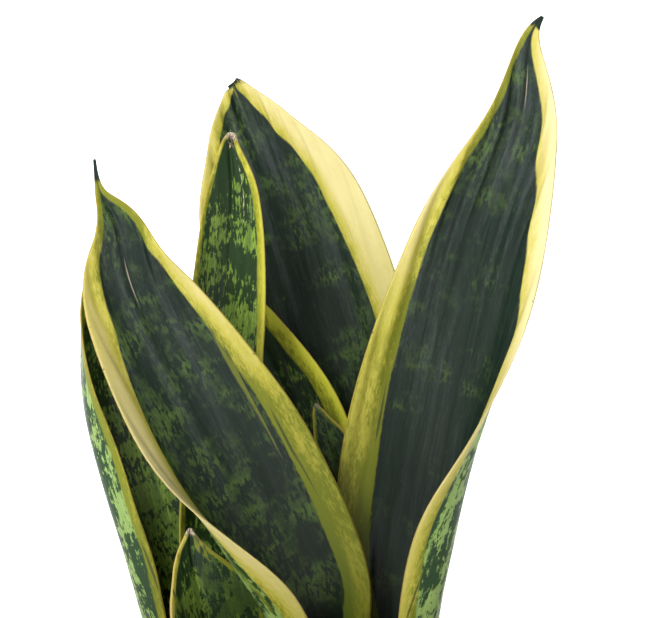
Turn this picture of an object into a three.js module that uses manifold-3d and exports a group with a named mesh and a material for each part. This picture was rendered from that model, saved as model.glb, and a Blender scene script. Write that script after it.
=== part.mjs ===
// A snake plant with gold-edged leaves in a plain clay pot.
// Millimetres, +Z up. The origin is the centre of the pot's underside, and the plant's front looks along -Y.
import * as THREE from 'three';
import { mergeVertices } from 'three/addons/utils/BufferGeometryUtils.js';
import Module from 'manifold-3d';

// Pot
const POT_HEIGHT = 140;
const POT_MOUTH_RADIUS = 80; // outside, at the collar
const POT_FOOT_RADIUS = 54;
const POT_WALL = 6;
const POT_FLOOR = 8;
const COLLAR_HEIGHT = 26;
const COLLAR_STEP = 4; // how far the collar stands out from the wall under it
const COLLAR_TAPER = 1; // how much the collar leans out towards the rim
const RIM_ROUND = 2;
const FOOT_ROUND = 2;
const FLOOR_FILLET = 6; // height of the rounded corner inside
const FLOOR_TAPER = 4;
const POT_SIDES = 48;
const DRAIN_RADIUS = 6;
const DRAIN_RING_RADIUS = 26;
const DRAIN_COUNT = 3;
const DRAIN_SIDES = 20;

// Potting mix
const SOIL_BELOW_RIM = 18;
const SOIL_CROWN = 3; // the mix is a little higher in the middle
const SOIL_SHOULDER = 0.6; // how far the mix drops below its crown half way out
const SOIL_EDGE = 1; // the small slope where the mix meets the wall
const CLEARANCE = 0.3; // between pieces that touch
const SOCKET_CLEARANCE = 0.6; // between the mix and the leaf bases in it

// Rootstock under the mix
const ROOT_DEPTH = 24; // from the mix's edge down to the leaf bases
const CROWN_HEIGHT = 16;
const RUNNER_RADIUS = 7;
const RUNNER_BOW = 4; // how far the runner bows to the back
const RUNNER_DIP = 1; // how far the runner dips in its middle
const CROWN_ROUND = 1.5; // the small slope round a crown's top
const CROWN_FOOT = 0.6; // a crown's radius at its underside, as a share of its full radius
const CROWN_BELLY = 0.92; // and a third of the way up
const ROOT_SIDES = 24;

// Leaves
const LEAF_THICKNESS = 2.6; // at the midrib, half way up
const LEAF_EDGE = 0.9;
const LEAF_BASE_EXTRA = 1.4; // extra thickness at the base
const LEAF_THINNING = 0.35; // share of its thickness that a leaf loses towards its tip
const TIP_HALF_WIDTH = 0.5; // no leaf is narrower than this on either side of its midrib
const LEAF_STEPS = 16;
const LEAF_ACROSS = 8;
const BEND_FROM = 0.05; // share of the half width where a half starts to curl
const BEND_TO = 0.8; // share of the half width from where it is flat again

// The two shoots: where each stands, and the radius of its crown on the rootstock.
const SHOOTS = {
  tall: { x: 36, y: 4, crown: 24 },
  side: { x: -38, y: 16, crown: 18 },
};

// Each row is one place along a leaf, from its base to its tip: the midrib's x and y from the shoot,
// its z above the mix, the flat half width, the way the inner face looks (degrees, 0 to the front
// and positive to the right), and how far the left and right halves curl inwards (degrees).
const LEAVES = {
  leaf_front_left: {
    shoot: 'tall',
    color: 0x2f4a38,
    rows: [
      [-19, -7, -ROOT_DEPTH, 13, 40, 80, 45],
      [-31, -10, 10, 25, 36, 125, 40],
      [-43, -14, 49, 37, 16, 150, 15],
      [-74, -18, 114, 39.5, 18, 66, 32],
      [-104, -26, 177, 26, 12, 38, 35],
      [-111, -31, 209, 12, 5, 35, 35],
      [-118, -34, 224, 2.5, 5, 30, 30],
      [-120, -35, 237, 0.6, 5, 20, 20],
    ],
  },
  leaf_right_tall: {
    shoot: 'tall',
    color: 0x2c4436,
    rows: [
      [10, -2, -ROOT_DEPTH, 13, -60, 60, 60],
      [12, 1, 10, 26, -36, 40, 138],
      [15, 6, 60, 38, -14, 28, 155],
      [24, 10, 120, 40, -12, 30, 95],
      [39, 9, 190, 31.5, -10, 32, 36],
      [56, 6, 245, 17.5, -5, 32, 34],
      [59, 2, 280, 5, -5, 30, 30],
      [64, 0, 291, 0.8, -5, 20, 20],
    ],
  },
  leaf_back: {
    shoot: 'tall',
    color: 0x385a3c,
    rows: [
      [4, 21, -ROOT_DEPTH, 11, 5, 55, 55],
      [-1, 34, 10, 24, 5, 48, 48],
      [-10, 42, 60, 34, 5, 40, 40],
      [-24, 48, 130, 41, 5, 28, 28],
      [-45, 54, 200, 38, 0, 24, 24],
      [-58, 56, 236, 20.5, -5, 28, 28],
      [-64, 56, 252, 7, -5, 28, 28],
      [-66, 56, 255, 2.5, -5, 20, 20],
    ],
  },
  leaf_left_short: {
    shoot: 'tall',
    color: 0x4b7a45,
    rows: [
      [-13, 10, -ROOT_DEPTH, 7, 30, 60, 60],
      [-19, 17, 10, 13, 20, 50, 50],
      [-24, 24, 60, 20, 15, 40, 40],
      [-38, 30, 110, 22, 15, 35, 35],
      [-57, 34, 152, 12, 15, 30, 30],
      [-63, 35, 168, 3, 15, 30, 30],
      [-64, 35, 174, 0.6, 15, 20, 20],
    ],
  },
  leaf_young: {
    shoot: 'tall',
    color: 0x5c8f4e,
    rows: [
      [0, 9, -ROOT_DEPTH, 5, 0, 60, 60],
      [-1, 13, 10, 8, 0, 60, 60],
      [-8, 16, 60, 12, 0, 50, 50],
      [-20, 17, 98, 11, 0, 40, 40],
      [-28, 18, 116, 4, 0, 40, 40],
      [-30, 18, 122, 0.6, 0, 20, 20],
    ],
  },
  leaf_side_upright: {
    shoot: 'side',
    color: 0x4f8a44,
    rows: [
      [2, 2, -ROOT_DEPTH, 10, 5, 60, 60],
      [1, 1, 10, 15, 5, 60, 60],
      [0, 0, 60, 18, 5, 50, 50],
      [3, 0, 120, 19.5, 5, 42, 42],
      [7, 1, 180, 18, 5, 38, 38],
      [9, 2, 214, 13, 0, 36, 36],
      [8, 2, 234, 5, 0, 30, 30],
      [9, 2, 240, 1.5, 0, 20, 20],
    ],
  },
  leaf_side_left: {
    shoot: 'side',
    color: 0x4a7d42,
    rows: [
      [-9, 2, -ROOT_DEPTH, 8, 50, 60, 60],
      [-18, 7, 10, 21, 25, 105, 40],
      [-28, 10, 60, 30, 15, 110, 25],
      [-44, 8, 120, 28, 15, 95, 25],
      [-48, 2, 164, 14, 18, 60, 30],
      [-49, -2, 186, 3, 20, 30, 30],
      [-50, -3, 191, 0.6, 20, 20, 20],
    ],
  },
  leaf_side_front: {
    shoot: 'side',
    color: 0x55904a,
    rows: [
      [2, -9, -ROOT_DEPTH, 8, 10, 60, 60],
      [4, -16, 8, 17, 24, 50, 36],
      [-5, -22, 38, 24, 26, 45, 26],
      [-8, -26, 60, 14, 20, 38, 28],
      [-9, -28, 72, 4, 10, 30, 30],
      [-9, -28, 76, 0.8, 10, 20, 20],
    ],
  },
};

const SOIL_Z = POT_HEIGHT - SOIL_BELOW_RIM;
const ROOT_Z = SOIL_Z - ROOT_DEPTH - CLEARANCE; // top of the rootstock
const WALL_TOP_RADIUS = POT_MOUTH_RADIUS - COLLAR_STEP;
const MOUTH_INSIDE = WALL_TOP_RADIUS - POT_WALL;
const FOOT_INSIDE = POT_FOOT_RADIUS - POT_WALL;
const FLOOR_CORNER_Z = POT_FLOOR + FLOOR_FILLET;

const wasm = await Module();
wasm.setup();

function toSolid(geometry) {
  const plain = geometry.clone();
  plain.deleteAttribute('normal');
  plain.deleteAttribute('uv');
  const merged = mergeVertices(plain, 1e-4);
  return new wasm.Manifold(new wasm.Mesh({
    numProp: 3,
    vertProperties: new Float32Array(merged.attributes.position.array),
    triVerts: new Uint32Array(merged.index.array),
  }));
}

function toGeometry(solid) {
  const mesh = solid.getMesh();
  const geometry = new THREE.BufferGeometry();
  geometry.setAttribute('position', new THREE.BufferAttribute(new Float32Array(mesh.vertProperties), 3));
  geometry.setIndex(new THREE.BufferAttribute(new Uint32Array(mesh.triVerts), 1));
  geometry.computeVertexNormals();
  return geometry;
}

function named(name, geometry, color, roughness) {
  const material = new THREE.MeshStandardMaterial({ color, roughness, metalness: 0 });
  const mesh = new THREE.Mesh(geometry, material);
  mesh.name = name;
  return mesh;
}

// Turns an outline of [radius, height] pairs about the pot's axis.
function turned(outline, sides = POT_SIDES) {
  const points = outline.map(([radius, height]) => new THREE.Vector2(radius, height));
  const geometry = new THREE.LatheGeometry(points, sides);
  geometry.rotateX(Math.PI / 2);
  return geometry;
}

// One smooth value through the rows' values in a column, at a place from 0 to 1.
function along(rows, column, place) {
  const last = rows.length - 1;
  const at = Math.min(place * last, last - 1e-9);
  const row = Math.floor(at);
  const t = at - row;
  const value = (index) => rows[Math.max(0, Math.min(last, index))][column];
  const [a, b, c, d] = [value(row - 1), value(row), value(row + 1), value(row + 2)];
  const bend = (2 * a - 5 * b + 4 * c - d) * t * t + (3 * b - 3 * c + d - a) * t * t * t;
  return b + 0.5 * ((c - a) * t + bend);
}

// How a half of unit width lies when it curls by an angle: how far across and inwards, and its turn there.
function curled(share, curl) {
  const spans = 16;
  const turnAt = (at) => curl * THREE.MathUtils.smoothstep(at, BEND_FROM, BEND_TO);
  let across = 0;
  let inwards = 0;
  for (let span = 0; span < spans; span += 1) {
    const turn = turnAt(share * (span + 0.5) / spans);
    across += Math.cos(turn) * share / spans;
    inwards += Math.sin(turn) * share / spans;
  }
  return { across, inwards, turn: turnAt(share) };
}

// A leaf is a loft of curved, lens-shaped sections along its midrib. grow makes it bigger all round.
function leafGeometry(leaf, grow = 0) {
  const shoot = SHOOTS[leaf.shoot];
  const midrib = (place) => new THREE.Vector3(
    shoot.x + along(leaf.rows, 0, place),
    shoot.y + along(leaf.rows, 1, place),
    SOIL_Z + along(leaf.rows, 2, place),
  );
  const nearby = 0.01; // share of the leaf's length, for finding its direction
  const positions = [];
  const ring = 2 * (LEAF_ACROSS + 1);
  for (let step = 0; step <= LEAF_STEPS; step += 1) {
    const place = step / LEAF_STEPS;
    const centre = midrib(place);
    const up = midrib(Math.min(1, place + nearby)).sub(midrib(Math.max(0, place - nearby))).normalize();
    if (step === 0) {
      centre.z -= grow;
    }
    const facing = THREE.MathUtils.degToRad(along(leaf.rows, 4, place));
    const curls = [5, 6].map((column) => THREE.MathUtils.degToRad(along(leaf.rows, column, place)));
    const half = Math.max(TIP_HALF_WIDTH, along(leaf.rows, 3, place)) + grow;
    const look = new THREE.Vector3(Math.sin(facing), -Math.cos(facing), 0);
    const side = new THREE.Vector3().crossVectors(up, look).normalize();
    if (step === 0) {
      side.z = 0;
      side.normalize();
    }
    const level = step === 0 ? new THREE.Vector3(0, 0, 1) : up;
    const inward = new THREE.Vector3().crossVectors(side, level);
    const full = LEAF_THICKNESS + LEAF_BASE_EXTRA * (1 - place) ** 2;
    const middle = Math.min(full, TIP_HALF_WIDTH + half) * (1 - LEAF_THINNING * place);
    const edge = Math.min(LEAF_EDGE, middle);
    const face = (s, sign) => {
      const thick = edge + (middle - edge) * (1 - s * s) + 2 * grow;
      const hand = s < 0 ? -1 : 1;
      const { across, inwards, turn } = curled(Math.abs(s), s < 0 ? curls[0] : curls[1]);
      const flat = new THREE.Vector3()
        .addScaledVector(side, hand * half * across)
        .addScaledVector(inward, half * inwards);
      const out = new THREE.Vector3()
        .addScaledVector(inward, Math.cos(turn))
        .addScaledVector(side, -hand * Math.sin(turn));
      return centre.clone().add(flat).addScaledVector(out, sign * thick / 2);
    };
    for (let index = 0; index <= LEAF_ACROSS; index += 1) {
      positions.push(...face(2 * index / LEAF_ACROSS - 1, 1).toArray());
    }
    for (let index = LEAF_ACROSS; index >= 0; index -= 1) {
      positions.push(...face(2 * index / LEAF_ACROSS - 1, -1).toArray());
    }
  }
  const faces = [];
  for (let step = 0; step < LEAF_STEPS; step += 1) {
    for (let index = 0; index < ring; index += 1) {
      const next = (index + 1) % ring;
      const [a, b] = [step * ring + index, step * ring + next];
      const [c, d] = [a + ring, b + ring];
      faces.push(a, b, c, b, d, c);
    }
  }
  const top = LEAF_STEPS * ring;
  for (let index = 0; index < LEAF_ACROSS; index += 1) {
    const [a, b] = [index, index + 1];
    const [c, d] = [ring - 1 - index, ring - 2 - index];
    faces.push(a, c, b, b, c, d);
    faces.push(top + a, top + b, top + c, top + b, top + d, top + c);
  }
  const geometry = new THREE.BufferGeometry();
  geometry.setAttribute('position', new THREE.Float32BufferAttribute(positions, 3));
  geometry.setIndex(faces);
  geometry.computeVertexNormals();
  return geometry;
}

// The pot's inside radius at a height on its sloping wall.
function insideAt(z) {
  const low = FOOT_INSIDE + FLOOR_TAPER;
  const share = (z - FLOOR_CORNER_Z) / (POT_HEIGHT - RIM_ROUND - FLOOR_CORNER_Z);
  return low + (MOUTH_INSIDE - low) * share;
}

// The pot: a tapered wall with a collar at the mouth, a flat floor and drain holes.
function pot() {
  const collarZ = POT_HEIGHT - COLLAR_HEIGHT;
  const outline = [
    [0, 0],
    [POT_FOOT_RADIUS - FOOT_ROUND, 0],
    [POT_FOOT_RADIUS, FOOT_ROUND],
    [WALL_TOP_RADIUS - COLLAR_TAPER, collarZ],
    [POT_MOUTH_RADIUS - COLLAR_TAPER - RIM_ROUND / 2, collarZ],
    [POT_MOUTH_RADIUS - COLLAR_TAPER, collarZ + RIM_ROUND],
    [POT_MOUTH_RADIUS, POT_HEIGHT - RIM_ROUND],
    [POT_MOUTH_RADIUS - RIM_ROUND, POT_HEIGHT],
    [MOUTH_INSIDE + RIM_ROUND, POT_HEIGHT],
    [MOUTH_INSIDE, POT_HEIGHT - RIM_ROUND],
    [insideAt(FLOOR_CORNER_Z), FLOOR_CORNER_Z],
    [FOOT_INSIDE - FLOOR_TAPER / 2, POT_FLOOR],
    [0, POT_FLOOR],
  ];
  let solid = toSolid(turned(outline));
  for (let index = 0; index < DRAIN_COUNT; index += 1) {
    const turn = 2 * Math.PI * index / DRAIN_COUNT + Math.PI / 2;
    const hole = new THREE.CylinderGeometry(DRAIN_RADIUS, DRAIN_RADIUS, 4 * POT_FLOOR, DRAIN_SIDES);
    hole.rotateX(Math.PI / 2);
    hole.translate(DRAIN_RING_RADIUS * Math.cos(turn), DRAIN_RING_RADIUS * Math.sin(turn), 0);
    solid = solid.subtract(toSolid(hole));
  }
  return toGeometry(solid);
}

// The rootstock: a crown of short, thick root under each shoot, joined by a runner.
function rootstock(grow = 0) {
  const top = ROOT_Z + grow;
  const bottom = ROOT_Z - CROWN_HEIGHT - grow;
  const crowns = Object.values(SHOOTS).map(({ x, y, crown }) => {
    const wide = crown + grow;
    const outline = [
      [0, bottom],
      [wide * CROWN_FOOT, bottom],
      [wide * CROWN_BELLY, bottom + CROWN_HEIGHT / 3],
      [wide, top - CROWN_HEIGHT / 4],
      [wide - CROWN_ROUND, top],
      [0, top],
    ];
    const geometry = turned(outline, ROOT_SIDES);
    geometry.translate(x, y, 0);
    return toSolid(geometry);
  });
  const { tall, side } = SHOOTS;
  const runnerZ = ROOT_Z - CROWN_HEIGHT / 2;
  const path = new THREE.CatmullRomCurve3([
    new THREE.Vector3(tall.x, tall.y, runnerZ),
    new THREE.Vector3((tall.x + side.x) / 2, (tall.y + side.y) / 2 + RUNNER_BOW, runnerZ - RUNNER_DIP),
    new THREE.Vector3(side.x, side.y, runnerZ),
  ]);
  const round = new THREE.Shape();
  round.absarc(0, 0, RUNNER_RADIUS + grow, 0, 2 * Math.PI);
  const runner = new THREE.ExtrudeGeometry(round, { extrudePath: path, steps: 10, curveSegments: 6 });
  return crowns[0].add(crowns[1]).add(toSolid(runner));
}

// The mix fills the pot and is cut out round the rootstock and every leaf base.
function soil() {
  const cornerZ = FLOOR_CORNER_Z + SOIL_EDGE;
  const edgeZ = SOIL_Z - SOIL_EDGE;
  const topRadius = insideAt(SOIL_Z) - CLEARANCE;
  const outline = [
    [0, POT_FLOOR + CLEARANCE],
    [FOOT_INSIDE - FLOOR_TAPER / 2, POT_FLOOR + CLEARANCE],
    [insideAt(cornerZ) - CLEARANCE, cornerZ],
    [insideAt(edgeZ) - CLEARANCE, edgeZ],
    [topRadius - SOIL_EDGE, SOIL_Z],
    [topRadius / 2, SOIL_Z + SOIL_CROWN - SOIL_SHOULDER],
    [0, SOIL_Z + SOIL_CROWN],
  ];
  let solid = toSolid(turned(outline)).subtract(rootstock(CLEARANCE));
  for (const leaf of Object.values(LEAVES)) {
    solid = solid.subtract(toSolid(leafGeometry(leaf, SOCKET_CLEARANCE)));
  }
  return toGeometry(solid);
}

const group = new THREE.Group();
group.add(named('pot', pot(), 0xb5673f, 0.85));
group.add(named('potting_mix', soil(), 0x3a2a1e, 0.95));
group.add(named('rootstock', toGeometry(rootstock()), 0xc9a57a, 0.7));
for (const [name, leaf] of Object.entries(LEAVES)) {
  group.add(named(name, leafGeometry(leaf), leaf.color, 0.4));
}

export default group;
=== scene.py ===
"""A snake plant with gold-edged leaves in a plain clay pot, as a Blender add-on that runs as a script."""

import math

import bmesh
import bpy
import numpy as np
from bpy.props import FloatProperty, FloatVectorProperty, IntProperty, PointerProperty
from mathutils import Euler, Matrix, Vector, noise


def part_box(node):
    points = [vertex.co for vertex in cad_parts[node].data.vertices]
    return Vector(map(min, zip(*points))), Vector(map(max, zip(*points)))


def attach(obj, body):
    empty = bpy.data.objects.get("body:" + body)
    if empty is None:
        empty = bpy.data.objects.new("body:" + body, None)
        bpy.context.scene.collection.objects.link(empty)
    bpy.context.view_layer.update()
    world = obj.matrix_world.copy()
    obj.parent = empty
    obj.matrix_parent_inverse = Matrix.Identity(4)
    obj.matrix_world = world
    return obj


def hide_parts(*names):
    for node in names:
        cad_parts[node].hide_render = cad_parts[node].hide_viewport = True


bl_info = {
    "name": "Snake Plant",
    "version": (1, 0, 0),
    "blender": (4, 5, 0),
    "location": "View3D > Sidebar > Snake Plant",
    "description": "Builds a snake plant in a clay pot around its packed frame",
    "category": "Add Mesh",
}

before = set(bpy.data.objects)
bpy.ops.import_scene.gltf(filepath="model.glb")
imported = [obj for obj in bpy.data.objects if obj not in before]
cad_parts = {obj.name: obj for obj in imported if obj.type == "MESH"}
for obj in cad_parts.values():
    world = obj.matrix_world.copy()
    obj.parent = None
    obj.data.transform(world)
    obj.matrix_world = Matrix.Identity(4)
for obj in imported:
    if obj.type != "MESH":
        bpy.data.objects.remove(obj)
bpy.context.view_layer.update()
POT_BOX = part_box("pot")
MM = 0.001

# Where each shoot stands, x and y in millimetres, and the height of the mix at the pot's wall.
SHOOTS = {"tall": (36, 4), "side": (-38, 16)}
MIX_EDGE_Z = 122

# Values for a leaf without a scratch, or without a crease near its tip: both would start past the tip.
NO_SCRATCH = (2, 2, 0)
NO_CREASE = (2, 0.0)

# Each leaf has its node in the frame, its shoot, its material slot and a seed for its random draws.
# Each row is one place along a leaf, from its base to its tip, in millimetres and degrees: the midrib's
# x and y from its shoot and its z above the mix, the flat half width, the way the inner face looks
# (0 to the front, positive to the right), and how far the left and right halves curl inwards.
# bands gives, at shares of the way to the tip, the gold edge's width in millimetres, left and right, and
# how olive it is, left and right.
# mottling is how much of the inner face is pale, and bright how vivid.
# tip gives how dry the tip is and how far the dark part reaches down, in millimetres.
# crease is the share of the way to the tip from where the midrib's crease shows, with a painted dark shade
# line along it and painted shade on the half beside it, and how tan its end is.
# dim is how much painted shade darkens the right half, which also hides its pale mottling.
# scratch is where a pale scratch starts and ends, and how far across it lies.
# fold gives the angle by which each half folds up at the midrib, and from where to where it sets in.
# ribs is the height of the long ribs in millimetres, and lime how far the edge band leans to bright lime.
LEAVES = {
    "front_left_leaf": {
        "node": "leaf_front_left", "shoot": "tall", "slot": "leaf_dark", "seed": 1,
        "rows": [
            (-19, -7, -24, 13, 40, 80, 45),
            (-31, -10, 10, 25, 36, 125, 40),
            (-43, -14, 49, 37, 16, 150, 15),
            (-74, -18, 114, 39.5, 18, 66, 32),
            (-104, -26, 177, 26, 12, 38, 35),
            (-111, -31, 209, 12, 5, 35, 35),
            (-118, -34, 224, 2.5, 5, 30, 30),
            (-120, -35, 237, 0.6, 5, 20, 20),
        ],
        "bands": [
            (0, 5, 9, 0.9, 1), (0.22, 7.5, 12, 0.65, 1), (0.33, 11.5, 13, 0.3, 1),
            (0.43, 14, 12, 0.1, 0.85), (0.55, 13, 8.5, 0.4, 0.35), (0.65, 7, 5.5, 0.6, 0.5),
            (0.76, 3.2, 3.6, 0.5, 0.8), (0.88, 1.6, 1.6, 0.5, 0.8), (0.94, 0, 0, 1, 1),
            (1, 0, 0, 1, 1),
        ],
        "mottling": 0.50, "bright": 0.0, "tip": (0.0, 9), "crease": (0.60, 0.5), "right_shade": 0.0,
        "scratch": NO_SCRATCH, "fold": (24, 0.5, 0.85), "ribs": 0.24, "lime": 0,
    },
    "right_tall_leaf": {
        "node": "leaf_right_tall", "shoot": "tall", "slot": "leaf_dark", "seed": 2,
        "rows": [
            (10, -2, -24, 13, -60, 60, 60),
            (12, 1, 10, 26, -36, 40, 138),
            (15, 6, 60, 38, -14, 28, 155),
            (24, 10, 120, 40, -12, 30, 95),
            (39, 9, 190, 31.5, -10, 32, 36),
            (56, 6, 245, 17.5, -5, 32, 34),
            (59, 2, 280, 5, -5, 30, 30),
            (64, 0, 291, 0.8, -5, 20, 20),
        ],
        "bands": [
            (0, 12, 6, 1, 0.75), (0.25, 16, 7, 1.05, 0.5), (0.38, 16, 6, 0.95, 0.25),
            (0.47, 14, 6, 0.75, 0.1), (0.57, 9, 9, 0.35, 0.1), (0.68, 5, 9, 0.4, 0),
            (0.8, 2.4, 6, 0.6, 0), (0.9, 2, 3, 0.7, 0.2), (0.955, 0.8, 1, 0.9, 0.6),
            (0.97, 0, 0, 1, 1), (1, 0, 0, 1, 1),
        ],
        "mottling": 0.31, "bright": 0.0, "tip": (0.0, 5), "crease": (0.77, 0.4), "right_shade": 0.0,
        "scratch": NO_SCRATCH, "fold": (7, 0.5, 0.9), "ribs": 0.40, "lime": 0,
    },
    "back_leaf": {
        "node": "leaf_back", "shoot": "tall", "slot": "leaf_dark", "seed": 3,
        "rows": [
            (4, 21, -24, 11, 5, 55, 55),
            (-1, 34, 10, 24, 5, 48, 48),
            (-10, 42, 60, 34, 5, 40, 40),
            (-24, 48, 130, 41, 5, 28, 28),
            (-45, 54, 200, 38, 0, 24, 24),
            (-58, 56, 236, 20.5, -5, 28, 28),
            (-64, 56, 252, 7, -5, 28, 28),
            (-66, 56, 255, 2.5, -5, 20, 20),
        ],
        "bands": [
            (0, 8, 10, 0.6, 0.5), (0.4, 6, 14, 0.5, 0.4), (0.57, 7, 18, 0.4, 0.15),
            (0.71, 6, 12, 0.35, 0.2), (0.84, 5, 7, 0.3, 0.3), (0.94, 4, 4, 0.3, 0.4),
            (1, 2, 2, 0.4, 0.4),
        ],
        "mottling": 0.375, "bright": 0.0, "tip": (0.0, 1.6), "crease": (0.72, 0.0), "right_shade": 0.0,
        "scratch": NO_SCRATCH, "fold": (14, 0.35, 0.8), "ribs": 0.36, "lime": 0,
    },
    "left_short_leaf": {
        "node": "leaf_left_short", "shoot": "tall", "slot": "leaf_mottled", "seed": 4,
        "rows": [
            (-13, 10, -24, 7, 30, 60, 60),
            (-19, 17, 10, 13, 20, 50, 50),
            (-24, 24, 60, 20, 15, 40, 40),
            (-38, 30, 110, 22, 15, 35, 35),
            (-57, 34, 152, 12, 15, 30, 30),
            (-63, 35, 168, 3, 15, 30, 30),
            (-64, 35, 174, 0.6, 15, 20, 20),
        ],
        "bands": [
            (0, 5, 6, 1, 0.85), (0.5, 5, 8, 0.85, 0.7), (0.67, 4, 7, 0.85, 0.6),
            (0.85, 2, 3, 0.85, 0.65), (1, 1, 1, 0.85, 0.75),
        ],
        "mottling": 0.45, "bright": 0.6, "tip": (0.6, 3), "crease": NO_CREASE, "right_shade": 0.0,
        "scratch": NO_SCRATCH, "fold": (8, 0.3, 0.7), "ribs": 0.08, "lime": 0.85,
    },
    "young_leaf": {
        "node": "leaf_young", "shoot": "tall", "slot": "leaf_mottled", "seed": 5,
        "rows": [
            (0, 9, -24, 5, 0, 60, 60),
            (-1, 13, 10, 8, 0, 60, 60),
            (-8, 16, 60, 12, 0, 50, 50),
            (-20, 17, 98, 11, 0, 40, 40),
            (-28, 18, 116, 4, 0, 40, 40),
            (-30, 18, 122, 0.6, 0, 20, 20),
        ],
        "bands": [
            (0, 2, 2, 0.9, 0.8), (0.6, 1.6, 1.8, 0.9, 0.8), (1, 0.6, 0.6, 0.8, 0.8),
        ],
        "mottling": 0.4, "bright": 0.1, "tip": (0.3, 2), "crease": NO_CREASE, "right_shade": 0.0,
        "scratch": NO_SCRATCH, "fold": (8, 0.3, 0.7), "ribs": 0.05, "lime": 0.3,
    },
    "side_upright_leaf": {
        "node": "leaf_side_upright", "shoot": "side", "slot": "leaf_mottled", "seed": 6,
        "rows": [
            (2, 2, -24, 10, 5, 60, 60),
            (1, 1, 10, 15, 5, 60, 60),
            (0, 0, 60, 18, 5, 50, 50),
            (3, 0, 120, 19.5, 5, 42, 42),
            (7, 1, 180, 18, 5, 38, 38),
            (9, 2, 214, 13, 0, 36, 36),
            (8, 2, 234, 5, 0, 30, 30),
            (9, 2, 240, 1.5, 0, 20, 20),
        ],
        "bands": [
            (0, 3, 3, 0.8, 0.6), (0.4, 3, 3.4, 0.6, 0.45), (0.57, 2.4, 3.8, 0.5, 0.3),
            (0.8, 1.6, 2.8, 0.5, 0.35), (1, 0.8, 0.8, 0.6, 0.6),
        ],
        "mottling": 0.465, "bright": 1.0, "tip": (1.0, 2.2), "crease": NO_CREASE, "right_shade": 0.0,
        "scratch": (0.66, 0.84, 0.42), "fold": (22, 0.2, 0.6), "ribs": 0.08, "lime": 0.35,
    },
    "side_left_leaf": {
        "node": "leaf_side_left", "shoot": "side", "slot": "leaf_mottled", "seed": 7,
        "rows": [
            (-9, 2, -24, 8, 50, 60, 60),
            (-18, 7, 10, 22, 25, 120, 40),
            (-28, 10, 60, 32, 15, 134, 25),
            (-44, 8, 120, 30, 15, 122, 25),
            (-48, 2, 164, 14, 18, 60, 30),
            (-49, -2, 186, 3, 20, 30, 30),
            (-50, -3, 191, 0.6, 20, 20, 20),
        ],
        "bands": [
            (0, 4.2, 4, 0.8, 1), (0.4, 4.2, 4, 0.8, 1), (0.7, 4.2, 3, 0.8, 0.9), (1, 1.2, 1, 0.8, 0.9),
        ],
        "mottling": 0.475, "bright": 1.0, "tip": (0.8, 3), "crease": NO_CREASE, "right_shade": 0.0,
        "scratch": NO_SCRATCH, "fold": (8, 0.3, 0.7), "ribs": 0.08, "lime": 0.25,
    },
    "side_front_leaf": {
        "node": "leaf_side_front", "shoot": "side", "slot": "leaf_mottled", "seed": 8,
        "rows": [
            (2, -9, -24, 8, 10, 60, 60),
            (4, -16, 8, 17, 24, 50, 36),
            (-3.5, -22, 38, 26, 26, 45, 26),
            (-8, -26, 60, 14, 20, 38, 28),
            (-9, -28, 72, 4, 10, 30, 30),
            (-9, -28, 76, 0.8, 10, 20, 20),
        ],
        "bands": [
            (0, 3, 3, 0.3, 0.8), (0.5, 3, 2.6, 0.25, 0.8), (0.8, 1.8, 1.6, 0.3, 0.7),
            (1, 0.8, 0.8, 0.4, 0.6),
        ],
        "mottling": 0.465, "bright": 1.0, "tip": (0.8, 2.5), "crease": NO_CREASE, "right_shade": 0.75,
        "scratch": NO_SCRATCH, "fold": (26, 0.1, 0.5), "ribs": 0.06, "lime": 0,
    },
}

# Shares of a half's width between which it curls, and over which it folds up at the midrib.
BEND_FROM, BEND_TO = 0.05, 0.8
FOLD_TO = 0.07

# How a leaf's body is shaped, in millimetres unless the name says otherwise.
LEAST_HALF = 0.35
LEAST_CURL_DEGREES = 2
LEAF_EDGE = 0.9
BASE_EXTRA = 1.4
THINNING_SHARE = 0.35
RIB_COUNT, RIB_WIDTHS = 7, (5.0, 13.0)
CREASE_DEPTH, CREASE_WIDTH = 1.0, 1.3
WAVE_COUNT, WAVE_SPANS, WAVE_HEIGHT = 3, (45, 110), 0.45


# ---------------------------------------------------------------- shader maths

class Wire:
    """A node's output that Python's operators do maths with."""

    def __init__(self, recipe, socket):
        self.recipe = recipe
        self.socket = socket

    def _math(self, operation, first, second):
        return self.recipe.add("ShaderNodeMath", {"operation": operation}, {0: first, 1: second})

    def __add__(self, other):
        return self._math("ADD", self, other)

    def __radd__(self, other):
        return self._math("ADD", other, self)

    def __sub__(self, other):
        return self._math("SUBTRACT", self, other)

    def __rsub__(self, other):
        return self._math("SUBTRACT", other, self)

    def __mul__(self, other):
        return self._math("MULTIPLY", self, other)

    def __rmul__(self, other):
        return self._math("MULTIPLY", other, self)

    def __abs__(self):
        return self._math("ABSOLUTE", self, 0.0)

    def above(self, level, soft):
        """Rises smoothly from 0 to 1 as this value passes a level."""
        return self.recipe.add(
            "ShaderNodeMapRange",
            {"interpolation_type": "SMOOTHSTEP", "clamp": True},
            {"Value": self, "From Min": level - soft, "From Max": level + soft},
        )


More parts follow.
